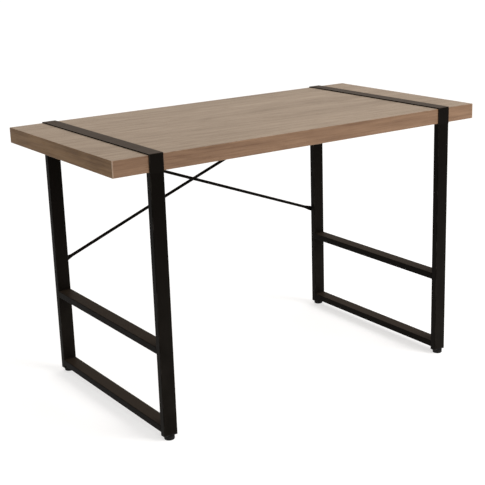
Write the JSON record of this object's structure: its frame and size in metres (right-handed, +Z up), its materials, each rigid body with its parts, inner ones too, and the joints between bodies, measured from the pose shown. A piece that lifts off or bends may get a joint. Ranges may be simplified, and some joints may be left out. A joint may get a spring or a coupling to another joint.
{
  "type": "desk",
  "caption": "Rectangular desk with a thick light oak-look top, black steel side frames that loop over the top as flat straps, crossed rear brace rods and levelling feet.",
  "frame": {"origin": "on the floor, under the middle of the top", "axes": "+Z up, +X along the desk's length to the sitter's right, -Y towards the sitter; the crossed rods are at the back, +Y"},
  "size_m": [1.2, 0.6303, 0.762],
  "materials": {
    "oak_decor": "light taupe oak-look melamine face on particleboard, fine grain along the desk, satin",
    "oak_edge_band": "matching oak-look edge strip, satin",
    "particleboard": "raw pressed chips",
    "kraft_paper": "brown kraft paper, matt",
    "black_powder_coat": "black powder coat, low sheen, fine texture",
    "black_oxide_steel": "black oxide, satin",
    "zinc_plated_steel": "bright zinc plate",
    "black_plastic_plug": "moulded black plastic, matt",
    "black_plastic_pad": "moulded black plastic, matt, worn underside"
  },
  "bodies": {
    "desk": {"upper_skin": "oak_decor", "lower_skin": "oak_decor", "front_edge_band": "oak_edge_band", "back_edge_band": "oak_edge_band", "left_edge_band": "oak_edge_band", "right_edge_band": "oak_edge_band", "front_core_rail": "particleboard", "back_core_rail": "particleboard", "left_core_rail": "particleboard", "right_core_rail": "particleboard", "left_core_block": "particleboard", "right_core_block": "particleboard", "left_honeycomb": "kraft_paper", "middle_honeycomb": "kraft_paper", "right_honeycomb": "kraft_paper", "front_left_leg": "black_powder_coat", "back_left_leg": "black_powder_coat", "left_bottom_rail": "black_powder_coat", "left_mid_rail": "black_powder_coat", "left_strap": "black_powder_coat", "left_top_plate": "black_powder_coat", "front_right_leg": "black_powder_coat", "back_right_leg": "black_powder_coat", "right_bottom_rail": "black_powder_coat", "right_mid_rail": "black_powder_coat", "right_strap": "black_powder_coat", "right_top_plate": "black_powder_coat", "rising_brace_rod": "black_powder_coat", "falling_brace_rod": "black_powder_coat", "brace_bolts": "black_oxide_steel", "brace_washers": "black_oxide_steel", "top_screws": "zinc_plated_steel", "foot_nuts": "zinc_plated_steel", "brace_rivet_nuts": "zinc_plated_steel", "front_left_leg_plug": "black_plastic_plug", "back_left_leg_plug": "black_plastic_plug", "front_right_leg_plug": "black_plastic_plug", "back_right_leg_plug": "black_plastic_plug"},
    "front_left_foot_stud": {"front_left_foot_stud": "zinc_plated_steel"},
    "front_left_foot_pad": {"front_left_foot_pad": "black_plastic_pad"},
    "back_left_foot_stud": {"back_left_foot_stud": "zinc_plated_steel"},
    "back_left_foot_pad": {"back_left_foot_pad": "black_plastic_pad"},
    "front_right_foot_stud": {"front_right_foot_stud": "zinc_plated_steel"},
    "front_right_foot_pad": {"front_right_foot_pad": "black_plastic_pad"},
    "back_right_foot_stud": {"back_right_foot_stud": "zinc_plated_steel"},
    "back_right_foot_pad": {"back_right_foot_pad": "black_plastic_pad"}
  },
  "joints": [
    {"name": "front_left_foot_height", "type": "slide", "parent": "desk", "child": "front_left_foot_stud", "axis": [0, 0, -1], "range_m": [0, 0.01]},
    {"name": "front_left_foot_turn", "type": "hinge", "parent": "front_left_foot_stud", "child": "front_left_foot_pad", "pos_m": [-0.48, -0.297, 0.006], "axis": [0, 0, -1], "range_deg": [0, 2880]},
    {"name": "back_left_foot_height", "type": "slide", "parent": "desk", "child": "back_left_foot_stud", "axis": [0, 0, -1], "range_m": [0, 0.01]},
    {"name": "back_left_foot_turn", "type": "hinge", "parent": "back_left_foot_stud", "child": "back_left_foot_pad", "pos_m": [-0.48, 0.297, 0.006], "axis": [0, 0, -1], "range_deg": [0, 2880]},
    {"name": "front_right_foot_height", "type": "slide", "parent": "desk", "child": "front_right_foot_stud", "axis": [0, 0, -1], "range_m": [0, 0.01]},
    {"name": "front_right_foot_turn", "type": "hinge", "parent": "front_right_foot_stud", "child": "front_right_foot_pad", "pos_m": [0.48, -0.297, 0.006], "axis": [0, 0, -1], "range_deg": [0, 2880]},
    {"name": "back_right_foot_height", "type": "slide", "parent": "desk", "child": "back_right_foot_stud", "axis": [0, 0, -1], "range_m": [0, 0.01]},
    {"name": "back_right_foot_turn", "type": "hinge", "parent": "back_right_foot_stud", "child": "back_right_foot_pad", "pos_m": [0.48, 0.297, 0.006], "axis": [0, 0, -1], "range_deg": [0, 2880]}
  ],
  "couplings": [
    {"joint": "front_left_foot_turn", "follows": "front_left_foot_height", "rad_per_m": 5026.5},
    {"joint": "back_left_foot_turn", "follows": "back_left_foot_height", "rad_per_m": 5026.5},
    {"joint": "front_right_foot_turn", "follows": "front_right_foot_height", "rad_per_m": 5026.5},
    {"joint": "back_right_foot_turn", "follows": "back_right_foot_height", "rad_per_m": 5026.5}
  ]
}
